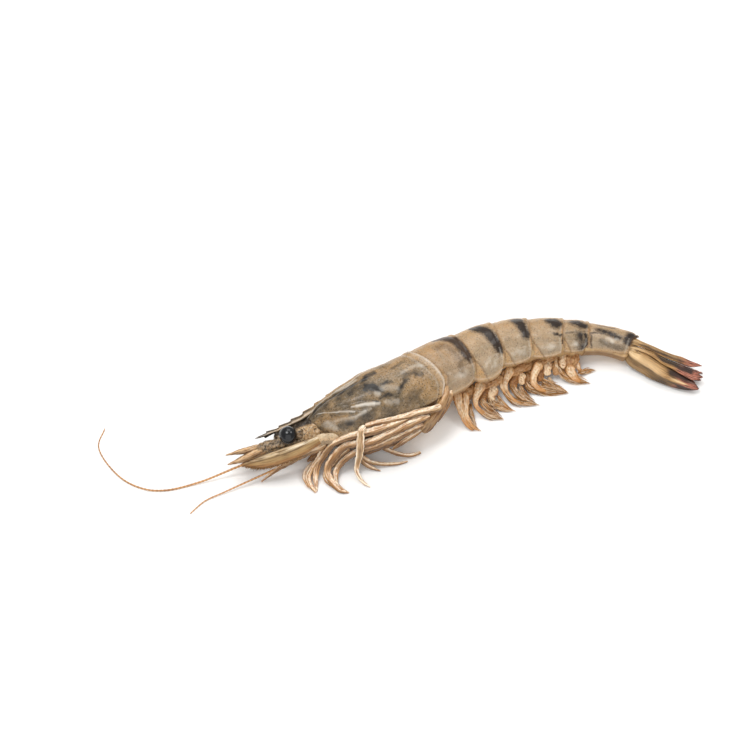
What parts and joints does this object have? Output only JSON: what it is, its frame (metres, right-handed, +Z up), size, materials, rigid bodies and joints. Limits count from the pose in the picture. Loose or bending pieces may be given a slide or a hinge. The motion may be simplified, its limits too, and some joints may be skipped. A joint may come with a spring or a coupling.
{
  "type": "raw tiger prawn",
  "caption": "Whole raw tiger prawn lying on its side: head shell with beak, six tail plates, tail fan, eyes, feelers, walking legs and swimming legs.",
  "frame": {"origin": "middle of the flat spot under the head shell, on the table", "axes": "+X along the body towards the tail fan, +Y towards the back of the prawn, +Z up out of the left side that shows"},
  "size_m": [0.2558, 0.0651, 0.028],
  "materials": {
    "head_shell": "damp grey-brown shell with fine dark speckles",
    "tail_plate": "damp translucent grey-beige shell with dark bands",
    "tail_fan": "damp streaked shell, golden at the root and dark red at the tips",
    "eye": "glossy black",
    "leg": "damp tan shell",
    "swimming_leg": "damp orange-brown shell edged with hairs"
  },
  "bodies": {
    "root": {"head_shell": "head_shell", "head_front": "head_shell", "tail_plate_1": "tail_plate", "tail_plate_2": "tail_plate", "tail_plate_3": "tail_plate", "tail_plate_4": "tail_plate", "tail_plate_5": "tail_plate", "tail_plate_6": "tail_plate", "telson": "tail_fan", "uropod_inner_left": "tail_fan", "uropod_outer_left": "tail_fan", "uropod_inner_right": "tail_fan", "uropod_outer_right": "tail_fan", "uropod_base_left": "tail_fan", "uropod_base_right": "tail_fan", "eye_left": "eye", "eye_right": "eye", "antennule_left": "leg", "antennule_right": "leg", "antenna_scale_left": "leg", "antenna_scale_right": "leg", "antenna_base_left": "leg", "antenna_base_right": "leg", "antenna_left": "leg", "antenna_right": "leg", "eye_stalk_left": "leg", "eye_stalk_right": "leg", "jaw_leg_left": "leg", "jaw_leg_right": "leg", "leg_1_left": "leg", "leg_1_right": "leg", "leg_2_left": "leg", "leg_2_right": "leg", "leg_3_left": "leg", "leg_3_right": "leg", "leg_4_left": "leg", "leg_4_right": "leg", "leg_5_left": "leg", "leg_5_right": "leg", "swimmer_1_left": "swimming_leg", "swimmer_1_right": "swimming_leg", "swimmer_2_left": "swimming_leg", "swimmer_2_right": "swimming_leg", "swimmer_3_left": "swimming_leg", "swimmer_3_right": "swimming_leg", "swimmer_4_left": "swimming_leg", "swimmer_4_right": "swimming_leg", "swimmer_5_left": "swimming_leg", "swimmer_5_right": "swimming_leg"}
  },
  "joints": []
}
